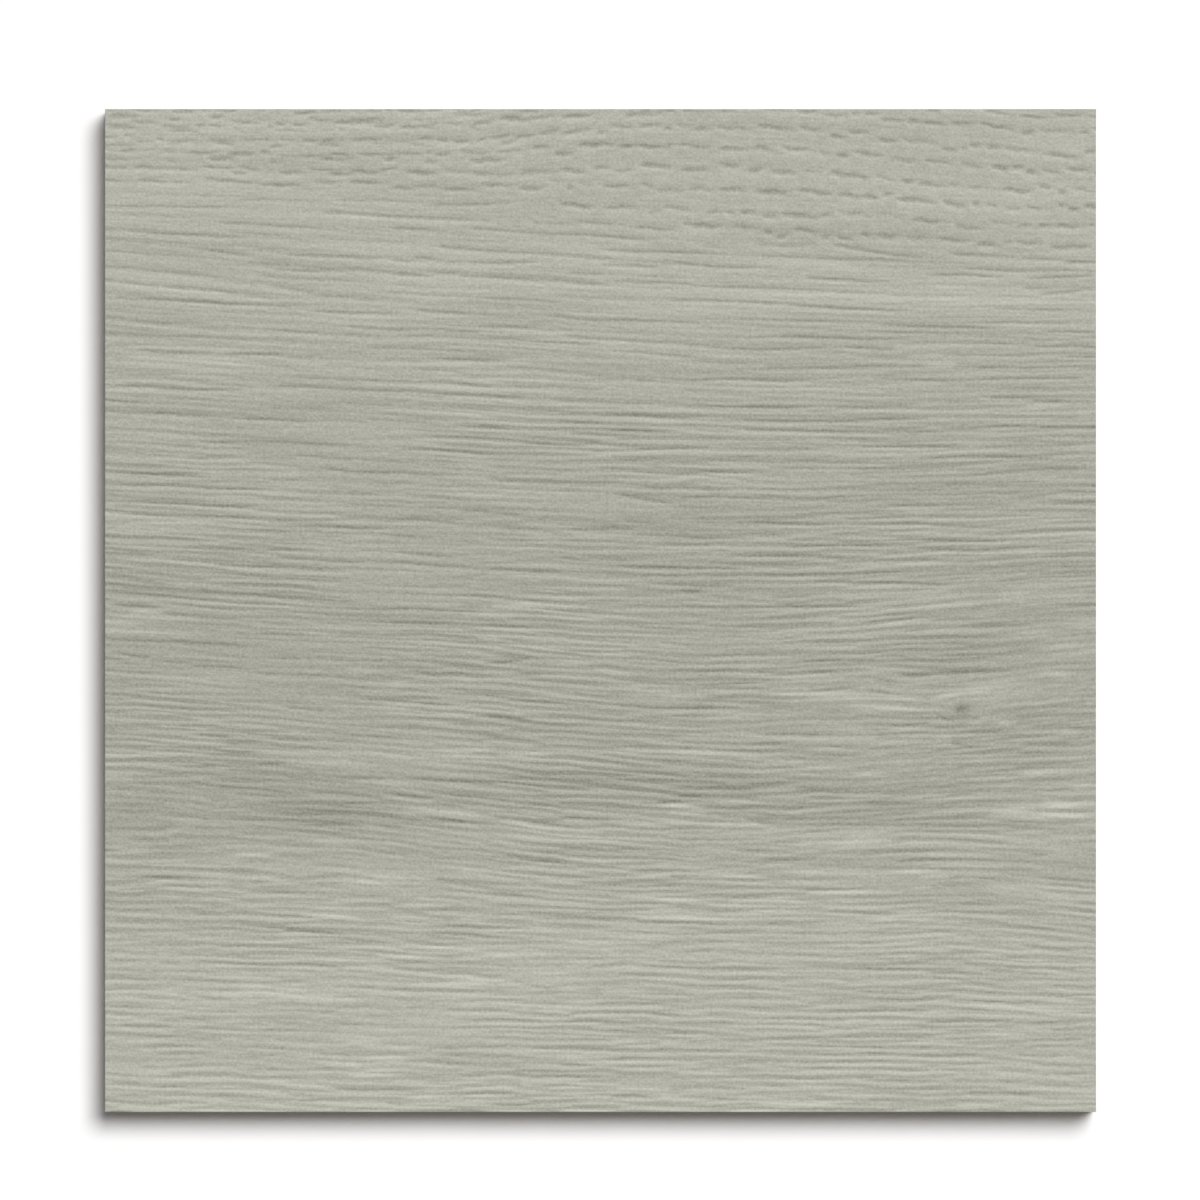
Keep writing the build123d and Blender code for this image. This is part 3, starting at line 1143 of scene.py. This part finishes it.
backing = bpy.data.materials.new("backing_paper")
nodes = Nodes(backing)
place = nodes.add("ShaderNodeTexCoord").outputs["Object"]
paper = nodes.math("ADD", nodes.noise(place, PAPER_SCALE, PAPER_DETAIL), NOISE_MIDDLE)
paper_low, paper_high = (NOISE_MIDDLE + limit for limit in PAPER_SPAN)
colour = nodes.ramp(paper, [(paper_low, BACKING_DARK), (paper_high, BACKING_PALE)])
shader = nodes.add("ShaderNodeBsdfPrincipled", Base_Color=colour, Roughness=BACKING_ROUGHNESS,
                   Specular_IOR_Level=BACKING_SPECULAR)
nodes.finish(shader)

for material in (decor, sawn, backing):
    mesh.materials.append(material)
DECOR_SLOT, SAWN_SLOT, BACKING_SLOT = range(3)
material_slots = np.full(len(polygons), DECOR_SLOT)
material_slots[polygon_parts >= SAWN_SIDE] = SAWN_SLOT
material_slots[polygon_parts >= BACKING_EDGE] = BACKING_SLOT
mesh.polygons.foreach_set("material_index", material_slots.astype(np.int32))
mesh.update()

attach(plank, "root")
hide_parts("plank")

# White floor just under the board
WHITE = (1, 1, 1, 1)
FLOOR_HALF = 1.5
FLOOR_DROP = 0.1 * MM
floor_mesh = bpy.data.meshes.new("floor")
floor_corners = [(-1, -1), (1, -1), (1, 1), (-1, 1)]
floor_points = [(x * FLOOR_HALF, y * FLOOR_HALF, plank_low.z - FLOOR_DROP) for x, y in floor_corners]
floor_mesh.from_pydata(floor_points, [], [(0, 1, 2, 3)])
floor = bpy.data.objects.new("floor", floor_mesh)
bpy.context.scene.collection.objects.link(floor)
white = bpy.data.materials.new("white_floor")
nodes = Nodes(white)
nodes.finish(nodes.add("ShaderNodeBsdfDiffuse", Color=WHITE))
floor_mesh.materials.append(white)

# Soft key light from the upper right, and an even fill from all round
KEY_DIRECTION = Vector((0.33, 0.42, 1))
KEY_SHARE = 0.865
FILL_SHARE = 0.155
KEY_WIDTH = math.radians(32)
key_light = bpy.data.lights.new("key", "SUN")
key_light.energy = KEY_SHARE * math.pi / KEY_DIRECTION.normalized().z
key_light.angle = KEY_WIDTH
key = bpy.data.objects.new("key", key_light)
key.rotation_mode = "QUATERNION"
key.rotation_quaternion = KEY_DIRECTION.to_track_quat("Z", "Y")
bpy.context.scene.collection.objects.link(key)

world = bpy.data.worlds.new("white_surround")
bpy.context.scene.world = world
nodes = Nodes(world)
rays = nodes.add("ShaderNodeLightPath").outputs
seen = nodes.math("MAXIMUM", rays["Is Camera Ray"], rays["Is Glossy Ray"])
seen = nodes.math("MAXIMUM", seen, rays["Is Transmission Ray"])
strength = nodes.math("MULTIPLY_ADD", seen, 1 - FILL_SHARE, FILL_SHARE)
surround = nodes.add("ShaderNodeBackground", Color=WHITE, Strength=strength)
nodes.finish(surround, "ShaderNodeOutputWorld")

# Camera straight above the board
FRAME_SPAN = 230.9 * MM
CAMERA_X = -0.1 * MM
CAMERA_Y = 2.02 * MM
SENSOR_WIDTH = 36
LENS_LENGTH = 300
camera_data = bpy.data.cameras.new("camera")
camera_data.sensor_width = SENSOR_WIDTH
camera_data.lens = LENS_LENGTH
camera = bpy.data.objects.new("camera", camera_data)
camera_distance = FRAME_SPAN * LENS_LENGTH / SENSOR_WIDTH
camera.location = (CAMERA_X, CAMERA_Y, plank_high.z + camera_distance)
bpy.context.scene.collection.objects.link(camera)
bpy.context.scene.camera = camera
bpy.context.scene.view_settings.view_transform = "Standard"
